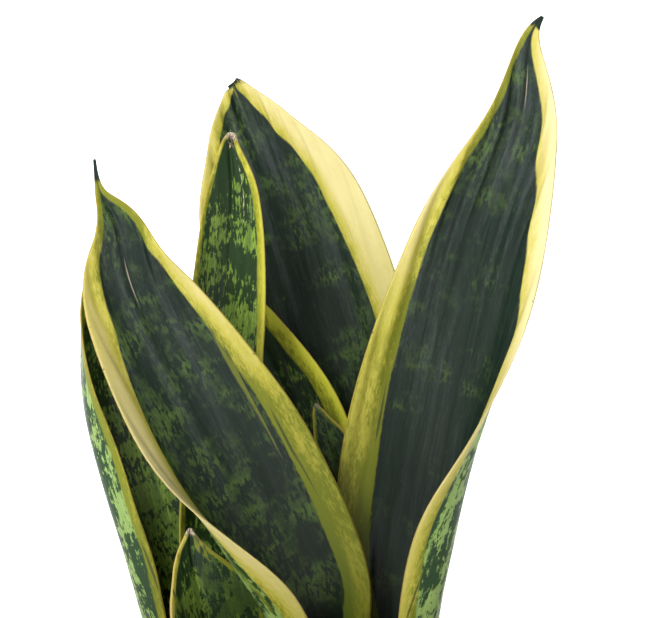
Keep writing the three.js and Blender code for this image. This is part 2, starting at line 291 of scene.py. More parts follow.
class Recipe:
    """One material's nodes, with one way to add each."""

    def __init__(self, name):
        self.material = bpy.data.materials.new(name)
        self.material.use_nodes = True
        self.tree = self.material.node_tree
        self.tree.nodes.clear()

    def add(self, kind, settings=None, sockets=None, out=0):
        node = self.tree.nodes.new(kind)
        for key, value in (settings or {}).items():
            setattr(node, key, value)
        for key, value in (sockets or {}).items():
            socket = node.inputs[key]
            if isinstance(value, Wire):
                self.tree.links.new(value.socket, socket)
            elif socket.type == "RGBA":
                socket.default_value = (*value[:3], 1.0)
            else:
                socket.default_value = value
        return Wire(self, node.outputs[out]) if node.outputs else None

    def blend(self, share, first, second, way="MIX"):
        """A colour part of the way from the first to the second."""
        settings = {"data_type": "RGBA", "blend_type": way}
        return self.add("ShaderNodeMix", settings, {0: share, 6: first, 7: second}, out=2)

    def place(self, x, y, z):
        return self.add("ShaderNodeCombineXYZ", None, {0: x, 1: y, 2: z})

    def grain(self, at, scale=1.0, detail=2.0, rough=0.5):
        return self.add(
            "ShaderNodeTexNoise", {"noise_dimensions": "3D"},
            {"Vector": at, "Scale": scale, "Detail": detail, "Roughness": rough},
        )

    def parts(self, vector):
        """A vector's x, y and z."""
        split = self.add("ShaderNodeSeparateXYZ", None, {0: vector})
        return tuple(Wire(self, output) for output in split.socket.node.outputs)

    def read(self, name):
        """The three values stored under a name on the mesh."""
        return self.parts(self.add("ShaderNodeAttribute", {"attribute_name": name}, None, out=1))

    def spot(self):
        """Where a point of the surface is on its piece."""
        return self.add("ShaderNodeTexCoord", None, None, out=3)

    def relief(self, height, strength, reach):
        return self.add("ShaderNodeBump", None, {"Strength": strength, "Distance": reach, "Height": height})

    def finish(self, sockets):
        """The material, with a surface that has these sockets."""
        shader = self.add("ShaderNodeBsdfPrincipled", None, sockets)
        self.add("ShaderNodeOutputMaterial", None, {"Surface": shader})
        return self.material


# ---------------------------------------------------------------- leaf geometry

def through(values, places):
    """Smooth values through evenly spaced ones, at places from 0 to 1."""
    values = np.asarray(values, dtype=float)
    last = len(values) - 1
    at = np.minimum(np.asarray(places) * last, last - 1e-9)
    row = np.floor(at).astype(int)
    t = at - row
    a, b, c, d = (values[np.clip(row + step, 0, last)] for step in (-1, 0, 1, 2))
    bend = (2 * a - 5 * b + 4 * c - d) * t**2 + (3 * b - 3 * c + d - a) * t**3
    return b + 0.5 * ((c - a) * t + bend)


def eased(values, low, high):
    """Rises smoothly from 0 to 1 between two levels."""
    share = np.clip((values - low) / (high - low), 0, 1)
    return share * share * (3 - 2 * share)


def curled(shares, curl, fold):
    """Where points of a folded and curled half of unit width lie, and the turn at each."""
    fine = np.linspace(0, 1, 97)
    turn = fold[:, None] * eased(fine, 0, FOLD_TO)
    turn = turn + (curl - fold)[:, None] * eased(fine, BEND_FROM, BEND_TO)
    step = fine[1]
    middle = 0.5 * (turn[:, 1:] + turn[:, :-1])
    zero = np.zeros((len(curl), 1))
    across = np.hstack([zero, np.cumsum(np.cos(middle) * step, axis=1)])
    inward = np.hstack([zero, np.cumsum(np.sin(middle) * step, axis=1)])

    def at(table):
        return np.array([np.interp(shares, fine, line) for line in table])

    return at(across), at(inward), at(turn)


def unit(vectors):
    return vectors / np.linalg.norm(vectors, axis=-1, keepdims=True)


def leaf_mesh(name, design, sizes):
    """A closed leaf: an inner and an outer face that meet in a rounded edge all round."""
    rng = np.random.default_rng(design["seed"])
    rows = np.array(design["rows"], dtype=float)
    steps, across = sizes.leaf_steps, sizes.leaf_across
    places = np.linspace(0, 1, steps + 1) ** 0.92
    shoot = SHOOTS[design["shoot"]]
    spine = np.stack([through(rows[:, column], places) for column in range(3)], axis=1)
    spine += np.array([shoot[0], shoot[1], MIX_EDGE_Z])
    half = np.maximum(LEAST_HALF, through(rows[:, 3], places))
    facing = np.radians(through(rows[:, 4], places))
    curls = [
        np.radians(np.maximum(LEAST_CURL_DEGREES, through(rows[:, column], places))) for column in (5, 6)
    ]
    up = unit(np.gradient(spine, axis=0))
    look = np.stack([np.sin(facing), -np.cos(facing), np.zeros_like(facing)], axis=1)
    side = unit(np.cross(up, look))
    inward = np.cross(side, up)
    along = np.concatenate([[0], np.cumsum(np.linalg.norm(np.diff(spine, axis=0), axis=1))])

    s = np.sin(np.linspace(-math.pi / 2, math.pi / 2, across + 1))
    s = 0.45 * s + 0.55 * np.linspace(-1, 1, across + 1)
    hand = np.where(s < 0, -1.0, 1.0)
    angle, low, high = design["fold"]
    fold = math.radians(angle) * eased(places, low, high)
    left, right = curled(np.abs(s), curls[0], fold), curled(np.abs(s), curls[1], fold)
    flat, rise, turn = (np.where(s[None, :] < 0, one, two) for one, two in zip(left, right))
    base = spine[:, None, :]
    middle = (
        base + side[:, None, :] * (hand * flat * half[:, None])[..., None]
        + inward[:, None, :] * (rise * half[:, None])[..., None]
    )
    out = (
        inward[:, None, :] * np.cos(turn)[..., None]
        - side[:, None, :] * (hand[None, :] * np.sin(turn))[..., None]
    )

    # The body is thick at the midrib and thin at the rounded edge.
    v = s[None, :] * half[:, None]
    u = along[:, None] + np.zeros_like(v)
    full = np.minimum(sizes.leaf_thickness / MM + BASE_EXTRA * (1 - places) ** 2, 0.5 + half)
    full = full * (1 - THINNING_SHARE * places)
    from_edge = half[:, None] * (1 - np.abs(s))[None, :]
    plump = LEAF_EDGE + (full[:, None] - LEAF_EDGE) * (1 - s**2)[None, :]
    round_edge = np.sqrt(np.clip(1 - (1 - np.clip(from_edge / LEAF_EDGE, 0, 1)) ** 2, 0, 1))
    thick = np.minimum(plump, full[:, None]) * round_edge

    # Long shallow ribs, a crease along the midrib and a slow wave of the edges.
    ribs = np.zeros_like(v)
    for _ in range(RIB_COUNT):
        width = rng.uniform(*RIB_WIDTHS)
        drift = rng.uniform(-0.02, 0.02)
        phase = rng.uniform(0, 2 * math.pi)
        ribs += design["ribs"] * np.sin(2 * math.pi * (v + drift * u) / width + phase)
    ribs *= (0.3 + 0.7 * eased(places, 0.35, 0.62))[:, None]
    ribs *= np.clip(from_edge / 6, 0, 1) * np.clip((1 - places) / 0.15, 0, 1)[:, None]
    crease = -CREASE_DEPTH * np.exp(-((v / CREASE_WIDTH) ** 2))
    crease *= np.clip((places - 0.3) / 0.4, 0, 1)[:, None]
    crease *= np.clip(half / 8, 0, 1)[:, None]
    wave = np.zeros_like(v)
    for _ in range(WAVE_COUNT):
        span = rng.uniform(*WAVE_SPANS)
        phase = rng.uniform(0, 2 * math.pi)
        tilt = rng.uniform(-1.2, 1.2)
        wave += WAVE_HEIGHT * np.sin(2 * math.pi * u / span + phase + tilt * s[None, :])
    wave *= np.clip(np.abs(s) - 0.35, 0, 1)[None, :] ** 1.5 * np.clip(half / 20, 0, 1)[:, None]
    wave *= np.clip((u - 40) / 40, 0, 1)
    middle = middle + out * wave[..., None]
    inner = middle + out * (thick / 2 + ribs + crease)[..., None]
    outer = middle - out * (thick / 2 - 0.6 * ribs)[..., None]

    table = np.array(design["bands"], dtype=float)
    columns = [np.interp(places, table[:, 0], table[:, column])[:, None] for column in (1, 2, 3, 4)]
    band = np.where(s[None, :] < 0, columns[0], columns[1]) - from_edge
    olive = np.where(s[None, :] < 0, columns[2], columns[3])
    share = places[:, None] + np.zeros_like(v)
    to_tip = (along[-1] - along)[:, None] + np.zeros_like(v)

    faces_at = [(inner, 1.0, range(0, across + 1)), (outer, 0.0, range(across - 1, 0, -1))]
    points, marks, spots, tones = [], [], [], []
    for row in range(steps + 1):
        for grid, face, columns in faces_at:
            for column in columns:
                on_edge = column in (0, across)
                points.append((middle if on_edge else grid)[row, column] * MM)
                spots.append((v[row, column] * MM, u[row, column] * MM, 0.5 if on_edge else face))
                marks.append((from_edge[row, column], band[row, column], to_tip[row, column]))
                tones.append((olive[row, column], share[row, column], s[column]))
    ring = 2 * across
    polygons = []
    for row in range(steps):
        for index in range(ring):
            after = (index + 1) % ring
            a, b = row * ring + index, row * ring + after
            polygons.append((a, b, b + ring, a + ring))
    polygons.append(tuple(reversed(range(ring))))
    polygons.append(tuple(steps * ring + index for index in range(ring)))
    mesh = bpy.data.meshes.new(name)
    mesh.from_pydata([tuple(point) for point in points], [], polygons)
    for title, values in (("leaf_place", spots), ("leaf_marks", marks), ("leaf_tones", tones)):
        layer = mesh.attributes.new(title, "FLOAT_VECTOR", "POINT")
        layer.data.foreach_set("vector", np.array(values, dtype=np.float32).ravel())
    mesh.polygons.foreach_set("use_smooth", [True] * len(mesh.polygons))
    mesh.update()
    return mesh


def leaf_finish(name, design, colours):
    """Dark or mottled green with pale streaks, gold edges, a thin tan rim, a dark or dry tip, painted sheen
    and shade.
    """
    recipe = Recipe(name)
    seed = design["seed"] * 7.3
    v, u, face = recipe.read("leaf_place")
    edge, band, tip = recipe.read("leaf_marks")
    olive, share, across = recipe.read("leaf_tones")
    layer = face * 3.0 + seed
    near_base = 1 - share.above(0.38, 0.24)

    amount, bright = design["mottling"], design["bright"]
    long_streak = recipe.grain(recipe.place(v * 210, u * 9, layer), detail=2)
    streak = recipe.grain(recipe.place(v * 420, u * 22, layer + 2), detail=3)
    fine_streak = recipe.grain(recipe.place(v * 1500, u * 80, layer + 5), detail=2)
    hair = recipe.grain(recipe.place(v * 1300, u * 300, layer + 7), detail=3, rough=0.7)
    belt = recipe.grain(recipe.place(v * 52, u * 84, layer + 9), detail=3, rough=0.6)
    cloud = recipe.grain(recipe.place(v * 22, u * 14, layer + 13), detail=2)
    patch = recipe.grain(recipe.place(v * 190, u * 88, layer + 19), detail=5, rough=0.62)
    speck = recipe.grain(recipe.place(v * 1100, u * 800, layer + 17), detail=2)
    tuft = recipe.grain(recipe.place(v * 720, u * 250, layer + 23), detail=4, rough=0.6)

    # Dark leaves have faint cross belts of fine tufts; the others have bold patches that run along the leaf.
    region = ((belt - 0.5) * 1.2 + (cloud - 0.5) * 1.1 + amount).above(0.5, 0.22)
    faint = region * (tuft * 0.8 + patch * 0.5).above(0.64, 0.035)
    mixed = tuft * 0.6 + patch * 0.4 + (belt - 0.5) * 0.55 + (hair - 0.5) * 0.3 + (cloud - 0.5) * 0.45
    bold = (mixed - share.above(0.62, 0.3) * 0.16 * bright).above(0.98 - amount, 0.03)
    inner_light = faint * (1 - bright) * 0.8 + bold * bright
    ragged = patch * 0.45 + tuft * 0.4 + hair * 0.4 + (belt - 0.5) * 0.3 + (streak - 0.5) * 0.5
    outer_light = ragged.above(0.61 + 0.04 * bright, 0.03)
    dark = recipe.blend(cloud.above(0.5, 0.3), colours.leaf_dark, colours.leaf_deep)
    dark = recipe.blend(fine_streak.above(0.58, 0.2) * 0.5, dark, colours.leaf_vein)
    dark = recipe.blend(0.6 * bright, dark, colours.leaf_moss)
    # Painted sheen: grey streaks high on the dark leaves stand in for soft highlights along the ribs, partly
    # a waxy coating.
    bloom_and_sheen = (long_streak * 0.65 + fine_streak * 0.25 + hair * 0.25 + cloud * 0.4).above(0.85, 0.10)
    dark = recipe.blend(bloom_and_sheen * share.above(0.45, 0.25) * (0.5 - 0.5 * bright), dark, colours.bloom_and_sheen)
    mid = recipe.blend(streak.above(0.5, 0.25) * bright, colours.leaf_mid, colours.leaf_bright)
    mid = recipe.blend(0.45 * (1 - hair.above(0.5, 0.16)), mid, dark)
    # Painted shade: on the leaves that have it, the right half of the inner face is darkened, as it turns
    # away from the light, and loses some pale mottling.
    shaded_mottling = 1 - design["right_shade"] * across.above(0.08, 0.10) * (0.6 + 0.4 * belt.above(0.5, 0.1))
    dark = recipe.blend(design["right_shade"] * 0.6 * across.above(0.08, 0.10), dark, colours.leaf_deep)
    inner_colour = recipe.blend(inner_light * shaded_mottling, dark, mid)
    back = recipe.blend(fine_streak.above(0.5, 0.3), colours.leaf_back, colours.leaf_back_mid)
    outer_colour = recipe.blend(outer_light, colours.leaf_back_dark, back)
    is_inner = face.above(0.5, 0.1)
    green = recipe.blend(is_inner, outer_colour, inner_colour)

    # The gold edge: cream at the rim, olive where it is unripe, with green tufts and long streaks.
    wander = (long_streak - 0.5) * 1.8 + (streak - 0.5) * 1.2 + (hair - 0.5) * 1.4
    border = band + wander * (0.5 + olive)
    gold_share = border.above(0.0, 0.5)
    inside = 1 - border.above(3.6, 3.6)
    fog = (cloud * 0.6 + hair * 0.6 + patch * 0.4).above(0.80, 0.16)
    tone = olive * (0.83 + 0.40 * fog) + inside * (0.30 + 0.30 * fog) + (streak - 0.5) * 0.2
    gold = recipe.blend(tone.above(0.25, 0.25), colours.cream, colours.gold)
    gold = recipe.blend(tone.above(0.55, 0.2), gold, colours.lime)
    gold = recipe.blend(design["lime"] * (0.6 + 0.4 * fog), gold, colours.lime_bright)
    gold = recipe.blend(tone.above(0.86, 0.24), gold, colours.olive)
    low_green = (1 - share.above(0.27, 0.16)) * (patch * 0.5 + tuft * 0.5 + inside * 0.25).above(0.54, 0.1)
    gold = recipe.blend(low_green * 0.55 * is_inner, gold, colours.leaf_mid)
    skin = recipe.blend(gold_share, green, gold)
    slips = long_streak.above(0.66, 0.02) * (1 - border.above(4.0, 1.0)) * border.above(-3.5, 0.8)
    slip_colour = recipe.blend(gold_share, colours.olive, colours.leaf_deep)
    skin = recipe.blend(slips * 0.7, skin, slip_colour)
    # Painted shade: towards their bases the leaves are multiplied with the shade colour, more on the inner
    # faces, where less light reaches down into the rosette.
    low = near_base * (0.45 + (0.45 - 0.35 * bright) * is_inner)
    skin = recipe.blend(low, skin, recipe.blend(1.0, skin, colours.shade, "MULTIPLY"))

    # A crease near the tip that ends in a thin tan line, with painted shade on the half beside it and a
    # painted dark shade line along it.
    start, tan = design["crease"]
    crease_shade = across.above(0.02, 0.02) * (1 - across.above(0.34, 0.3)) * is_inner * share.above(start, 0.05)
    skin = recipe.blend(crease_shade * 0.6 * (1 - gold_share), skin, colours.leaf_dark)
    # Painted shade: a dark line along the midrib, where the crease lies in shadow.
    line = (1 - abs(v).above(0.0005, 0.0003)) * is_inner * share.above(start, 0.02)
    skin = recipe.blend(line * 0.6, skin, colours.leaf_dark)
    scar = (1 - abs(v).above(0.00022, 0.0001)) * (1 - abs(share - start).above(0.025, 0.02)) * is_inner
    skin = recipe.blend(scar * tan, skin, colours.straw)
    low_end, high_end, beside = design["scratch"]
    scratch = 1 - abs(across - beside + (streak - 0.5) * 0.25).above(0.018, 0.010)
    scratch = scratch * share.above(low_end, 0.02) * (1 - share.above(high_end, 0.02))
    scratch = scratch * hair.above(0.52, 0.05)
    skin = recipe.blend(scratch * is_inner, skin, colours.straw)

    # A thin tan rim, and a dark or dry tip.
    rim = (1 - edge.above(0.30, 0.14)) * (0.25 + 0.6 * hair.above(0.45, 0.2))
    skin = recipe.blend(rim, skin, colours.rim)
    nibbled = recipe.grain(recipe.place(v * 260, u * 330, seed), detail=2).above(0.74, 0.015)
    skin = recipe.blend(nibbled * (1 - edge.above(0.9, 0.4)) * 0.85, skin, colours.dry)
    dryness, reach = design["tip"]
    dried = recipe.blend(hair.above(0.5, 0.1), colours.dry, colours.straw)
    end_colour = recipe.blend(dryness, colours.leaf_dark, dried)
    end = 1 - (tip + (speck - 0.5) * 3 + (hair - 0.5) * 4).above(reach, 1.0)
    skin = recipe.blend(end, skin, end_colour)

    bumps = fine_streak * 0.35 + speck * 0.3 + long_streak * 0.7
    bump = recipe.relief(bumps, 0.3, 0.0006)
    rough = 0.38 + (long_streak - 0.5) * 0.3 + (cloud - 0.5) * 0.25 + (hair - 0.5) * 0.2
    rough = rough + gold_share * 0.10 + end * 0.3
    glossy = (long_streak * 0.8 + hair * 0.4).above(0.62, 0.10)
    sheen = 0.02 + 0.28 * share.above(0.5, 0.3) * glossy * is_inner
    return recipe.finish({
        "Base Color": skin, "Roughness": rough, "Normal": bump,
        "Specular IOR Level": 0.15, "Coat Weight": sheen, "Coat Roughness": 0.30,
    })


# ---------------------------------------------------------------- pot, mix and rootstock

# Sizes in millimetres that the panel doesn't offer; CROWN_RADII follow the order of SHOOTS.
ROUND_CORNERS = 2.4
FOOT_RING, FOOT_RECESS = 8, 0.8
COLLAR_TAPER = 1
FLOOR_FILLET, FLOOR_TAPER = 8, 4
CROWN_RADII = (24, 18)
RUNNER_RADIUS = 7
MIX_CROWN = 2.2

# Counts, and in metres how close the points of a drilled mesh are to be welded.
POT_SIDES, MIX_SIDES, DRAIN_SIDES, CROWN_SIDES = 144, 180, 32, 72
DRAIN_COUNT = 3
MIX_RINGS = 60
CROWN_STEPS = 24
RUNNER_STEPS, RUNNER_SIDES = 60, 28
FIBRE_COUNT, FIBRE_STEPS, FIBRE_SIDES = 16, 8, 6
WELD = 1e-5


def smooth_data(name, mesh):
    """The bmesh as smooth mesh data; the bmesh is freed."""
    data = bpy.data.meshes.new(name)
    mesh.to_mesh(data)
    mesh.free()
    data.polygons.foreach_set("use_smooth", [True] * len(data.polygons))
    return data


def join_rings(mesh, rings):
    """Faces between each ring of points and the next."""
    for low, high in zip(rings, rings[1:]):
        for index in range(len(low)):
            after = (index + 1) % len(low)
            mesh.faces.new((low[index], low[after], high[after], high[index]))


def close_tube(mesh, rings):
    """A tube through the rings, with both its ends closed."""
    join_rings(mesh, rings)
    mesh.faces.new(list(reversed(rings[0])))
    mesh.faces.new(rings[-1])


def pot_millimetres(sizes):
    """The pot's sizes in millimetres, by their plain names."""
    names = ("height", "mouth", "foot", "wall", "floor", "collar", "step", "drain", "drain_ring", "mix_depth")
    size = {name: getattr(sizes, "pot_" + name) / MM for name in names}
    if size["wall"] * 2 > size["foot"] or size["mix_depth"] > size["height"] / 2:
        raise ValueError("the pot's wall or its rim is too large for the pot")
    return size


def rounded(outline, reach, spans=4):
    """An outline of (radius, height) with its corners cut round, in millimetres."""
    result = [outline[0]]
    for before, here, after in zip(outline, outline[1:], outline[2:]):
        here, before, after = Vector(here), Vector(before), Vector(after)
        short = min(reach, (before - here).length * 0.45, (after - here).length * 0.45)
        start = here + (before - here).normalized() * short
        end = here + (after - here).normalized() * short
        for span in range(spans + 1):
            t = span / spans
            result.append(tuple(start.lerp(here, t).lerp(here.lerp(end, t), t)))
    return result + [outline[-1]]


def turned_mesh(name, outline, sides, lift=None):
    """A closed solid turned about Z from an outline that starts and ends on the axis."""
    mesh = bmesh.new()
    rings = []
    for radius, height in outline[1:-1]:
        ring = []
        for index in range(sides):
            turn = 2 * math.pi * index / sides
            spot = Vector((radius * math.cos(turn), radius * math.sin(turn), height)) * MM
            ring.append(mesh.verts.new(lift(spot, radius) if lift else spot))
        rings.append(ring)
    ends = []
    for radius, height in (outline[0], outline[-1]):
        spot = Vector((0, 0, height)) * MM
        ends.append(mesh.verts.new(lift(spot, 0) if lift else spot))
    join_rings(mesh, rings)
    for index in range(sides):
        after = (index + 1) % sides
        mesh.faces.new((ends[0], rings[0][after], rings[0][index]))
        mesh.faces.new((ends[1], rings[-1][index], rings[-1][after]))
    bmesh.ops.recalc_face_normals(mesh, faces=mesh.faces)
    return smooth_data(name, mesh)


def drilled(data, cutters):
    """The mesh with every cutter's solid taken out of it."""
    body = bpy.data.objects.new("drill_body", data)
    bpy.context.collection.objects.link(body)
    tools = []
    for cutter in cutters:
        tool = bpy.data.objects.new("drill", cutter)
        bpy.context.collection.objects.link(tool)
        step = body.modifiers.new("hole", "BOOLEAN")
        step.operation = "DIFFERENCE"
        step.object = tool
        step.solver = "EXACT"
        tools.append(tool)
    bpy.context.view_layer.update()
    result = bpy.data.meshes.new_from_object(body.evaluated_get(bpy.context.evaluated_depsgraph_get()))
    for tool in tools + [body]:
        old = tool.data
        bpy.data.objects.remove(tool)
        bpy.data.meshes.remove(old)
    mesh = bmesh.new()
    mesh.from_mesh(result)
    bmesh.ops.remove_doubles(mesh, verts=mesh.verts, dist=WELD)
    bmesh.ops.dissolve_degenerate(mesh, edges=mesh.edges, dist=WELD)
    bmesh.ops.triangulate(mesh, faces=[face for face in mesh.faces if len(face.verts) > 4])
    open_edges = sum(not edge.is_manifold for edge in mesh.edges)
    mesh.to_mesh(result)
    mesh.free()
    if open_edges:
        raise RuntimeError("the drilled pot has open edges")
    return result


def pot_mesh(sizes):
    """A tapered clay pot with a collar, rounded rims, faint throwing rings and drain holes."""
    size = pot_millimetres(sizes)
    top = size["mouth"] - size["step"]
    collar_z = size["height"] - size["collar"]
    inside = top - size["wall"]
    foot_inside = size["foot"] - size["wall"]
    outline = rounded([
        (0, FOOT_RECESS), (size["foot"] - FOOT_RING + 1, FOOT_RECESS), (size["foot"] - FOOT_RING, 0),
        (size["foot"], 0), (top - COLLAR_TAPER, collar_z), (size["mouth"] - COLLAR_TAPER, collar_z - 0.5),
        (size["mouth"], size["height"]), (inside, size["height"]),
        (foot_inside + FLOOR_TAPER, size["floor"] + FLOOR_FILLET), (foot_inside - FLOOR_TAPER, size["floor"]),
        (0, size["floor"]),
    ], ROUND_CORNERS)
    fine = [outline[0]]
    for start, end in zip(outline, outline[1:]):
        pieces = max(1, int(math.dist(start, end) / 2.5))
        fine += [tuple(Vector(start).lerp(Vector(end), (index + 1) / pieces)) for index in range(pieces)]

    def thrown(spot, radius):
        if radius < size["foot"] * 0.95:
            return spot
        wobble = 0.22 * noise.noise(Vector((3.1, 0, spot.z * 420))) + 0.25 * noise.noise(spot * 26)
        return spot + Vector((spot.x, spot.y, 0)).normalized() * wobble * MM

    cutters = []
    drain_outline = [(0, -9), (size["drain"], -9), (size["drain"], 20), (0, 20)]
    for index in range(DRAIN_COUNT):
        turn = 2 * math.pi * index / DRAIN_COUNT + math.pi / 2
        drain = turned_mesh("drill", drain_outline, DRAIN_SIDES)
        centre = Vector((math.cos(turn), math.sin(turn), 0)) * size["drain_ring"] * MM
        drain.transform(Matrix.Translation(centre))
        cutters.append(drain)
    return drilled(turned_mesh("clay_pot", fine, POT_SIDES, thrown), cutters)


def mix_mesh(sizes):
    """The potting mix: a lumpy surface strewn with crumbs and bark chips."""
    size = pot_millimetres(sizes)
    top_z = size["height"] - size["mix_depth"]
    top = size["mouth"] - size["step"] - size["wall"]
    foot = size["foot"] - size["wall"]
    drop = size["height"] - size["floor"] - FLOOR_FILLET
    rim = top - (top - foot - FLOOR_TAPER) * size["mix_depth"] / drop - 0.5
    outline = [(0, size["floor"] + 0.5), (foot - 4, size["floor"] + 0.5), (foot + 3, size["floor"] + 9)]
    outline += [(rim - 0.4, top_z - 3), (rim - 0.2, top_z - 1)]
    for index in range(MIX_RINGS):
        radius = (rim - 0.8) * (1 - index / MIX_RINGS)
        outline.append((radius, top_z + MIX_CROWN * (1 - (radius / rim) ** 2)))
    outline.append((0, top_z + MIX_CROWN))

    def lumps(spot, radius):
        if spot.z < (top_z - 0.5) * MM:
            return spot
        lump = 1.0 * noise.noise(spot * 90) + 0.9 * noise.noise(spot * 260) + 0.5 * noise.noise(spot * 700)
        return spot + Vector((0, 0, lump * MM * min(1, (rim - radius) / 4 + 0.3)))

    data = turned_mesh("mix_body", outline, MIX_SIDES, lumps)
    mesh = bmesh.new()
    mesh.from_mesh(data)
    rng = np.random.default_rng(41)
    stems = []
    for design in LEAVES.values():
        shoot = SHOOTS[design["shoot"]]
        row = design["rows"][1]
        stems.append((shoot[0] + row[0], shoot[1] + row[1], row[3]))
    placed = 0
    while placed < sizes.crumbs:
        radius = (rim - 3.5) * math.sqrt(rng.random())
        turn = 2 * math.pi * rng.random()
        x, y = radius * math.cos(turn), radius * math.sin(turn)
        if any(math.hypot(x - stem_x, y - stem_y) < 0.55 * half for stem_x, stem_y, half in stems):
            continue
        reach = rng.uniform(0.7, 2.2) if rng.random() < 0.76 else rng.uniform(2.5, 5.0)
        flat = rng.uniform(0.35, 0.9) if reach < 2.3 else rng.uniform(0.2, 0.4)
        z = top_z + MIX_CROWN * (1 - (radius / rim) ** 2) + 0.35
        chip = bmesh.ops.create_icosphere(mesh, subdivisions=1, radius=1.0)["verts"]
        spin = Euler((rng.uniform(-0.5, 0.5), rng.uniform(-0.5, 0.5), rng.uniform(0, 6.3))).to_matrix()
        for vertex in chip:
            knock = 1 + 0.35 * noise.noise(vertex.co * 1.9 + Vector((placed * 1.7, 0, 0)))
            shaped = Vector((vertex.co.x * reach, vertex.co.y * reach * 0.62, vertex.co.z * reach * flat))
            vertex.co = (spin @ (shaped * knock) + Vector((x, y, z))) * MM
        placed += 1
    mesh.to_mesh(data)
    mesh.free()
    return data


def rootstock_mesh():
    """A knobbly crown of root under each shoot and the scaly runner that joins them."""
    lowest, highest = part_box("rootstock")
    low, high = lowest.z / MM, highest.z / MM
    mesh = bmesh.new()
    for (x, y), radius in zip(SHOOTS.values(), CROWN_RADII):
        outline = [(0, low), (radius * 0.58, low + 0.4)]
        for step in range(1, CROWN_STEPS):
            t = step / CROWN_STEPS
            swell = 0.58 + 0.40 * math.sin(min(1, t * 1.5) * math.pi / 2) - 0.05 * max(0, t - 0.8) / 0.2
            outline.append((radius * swell, low + 0.4 + (high - low - 1.2) * t))
        outline += [(radius * 0.7, high - 0.8), (0, high - 1.0)]

        def knobbly(spot, reach):
            knob = -0.5 + 0.35 * noise.noise(spot * 120) - 0.3 * abs(math.sin(spot.z * 2200))
            return spot + Vector((spot.x, spot.y, 0)).normalized() * knob * MM if reach > 0 else spot

        crown = turned_mesh("crown", outline, CROWN_SIDES, knobbly)
        crown.transform(Matrix.Translation(Vector((x, y, 0)) * MM))
        mesh.from_mesh(crown)
        bpy.data.meshes.remove(crown)
    start, end = (Vector((x, y, (low + high) / 2)) for x, y in SHOOTS.values())
    rings = []
    for step in range(RUNNER_STEPS + 1):
        t = step / RUNNER_STEPS
        middle = start.lerp(end, t) + Vector((0, 4, -1)) * math.sin(math.pi * t)
        ahead = (end - start).normalized()
        across = ahead.cross(Vector((0, 0, 1))).normalized()
        reach = RUNNER_RADIUS - 0.5 - 0.4 * abs(math.sin(t * 34))
        ring = []
        for index in range(RUNNER_SIDES):
            turn = 2 * math.pi * index / RUNNER_SIDES
            spot = middle + (across * math.cos(turn) + Vector((0, 0, 1)) * math.sin(turn)) * reach
            ring.append(mesh.verts.new(spot * MM))
        rings.append(ring)
    close_tube(mesh, rings)
    bmesh.ops.recalc_face_normals(mesh, faces=mesh.faces)
    return smooth_data("rootstock_body", mesh)


def fibre_mesh(design):
    """The dried, frayed fibres at the end of a leaf, as small curled closed strands."""
    rng = np.random.default_rng(design["seed"] + 70)
    x, y, z = design["rows"][-1][:3]
    shoot = SHOOTS[design["shoot"]]
    end = Vector((shoot[0] + x, shoot[1] + y - 0.6, MIX_EDGE_Z + z))
    mesh = bmesh.new()
    for _ in range(FIBRE_COUNT):
        root = end + Vector((rng.uniform(-2.2, 2.2), rng.uniform(-0.8, 0.6), rng.uniform(-6.5, -1.5)))
        lean, span = rng.uniform(-0.5, 0.5), rng.uniform(2.0, 4.8)
        bend, thick = rng.uniform(-2.4, 2.4), rng.uniform(0.16, 0.34)
        rings = []
        for step in range(FIBRE_STEPS + 1):
            t = step / FIBRE_STEPS
            angle = lean + bend * t
            lift = span * (t - 0.25 * abs(bend) * t * t * 0.5)
            middle = root + Vector((math.sin(angle) * span * 0.35 * t, -0.5 * t, min(lift, span)))
            middle.z = min(middle.z, end.z - 0.2)
            reach = thick * (1 - 0.8 * t)
            rings.append([
                mesh.verts.new((middle + Vector((math.cos(turn), math.sin(turn) * 0.6, 0)) * reach) * MM)
                for turn in (2 * math.pi * index / FIBRE_SIDES for index in range(FIBRE_SIDES))
            ])
        close_tube(mesh, rings)
    bmesh.ops.recalc_face_normals(mesh, faces=mesh.faces)
    return smooth_data("dry_tip_fibres", mesh)


def fibre_finish(colours):
    """Dull brown and straw fibres."""
    recipe = Recipe("dry_fibre")
    place = recipe.spot()
    tone = recipe.grain(place, scale=900, detail=3)
    skin = recipe.blend(tone.above(0.5, 0.12), colours.dry, colours.straw)
    return recipe.finish({"Base Color": skin, "Roughness": 0.75 + (tone - 0.5) * 0.2})


def clay_finish(colours):
    """Matte clay with faint throwing rings, dark specks and a little mineral bloom."""
    recipe = Recipe("clay")
    place = recipe.spot()
    cloud = recipe.grain(place, scale=18, detail=4)
    grit = recipe.grain(place, scale=420, detail=3)
    x, y, z = recipe.parts(place)
    rings = recipe.grain(recipe.place(x * 3, y * 3, z * 260), detail=2)
    base = recipe.blend(cloud.above(0.5, 0.2), colours.clay, colours.clay_light)
    bloom_and_sheen = (recipe.grain(place, scale=34, detail=5, rough=0.65) + (grit - 0.5) * 0.2).above(0.62, 0.08)
    skin = recipe.blend(bloom_and_sheen * 0.35, base, colours.clay_bloom)
    skin = recipe.blend(grit.above(0.68, 0.04) * 0.5, skin, colours.clay_dark)
    bump = recipe.relief(rings * 0.5 + grit * 0.6, 0.35, 0.0008)
    return recipe.finish({
        "Base Color": skin, "Roughness": 0.82 + (grit - 0.5) * 0.2, "Normal": bump, "Specular IOR Level": 0.3,
    })


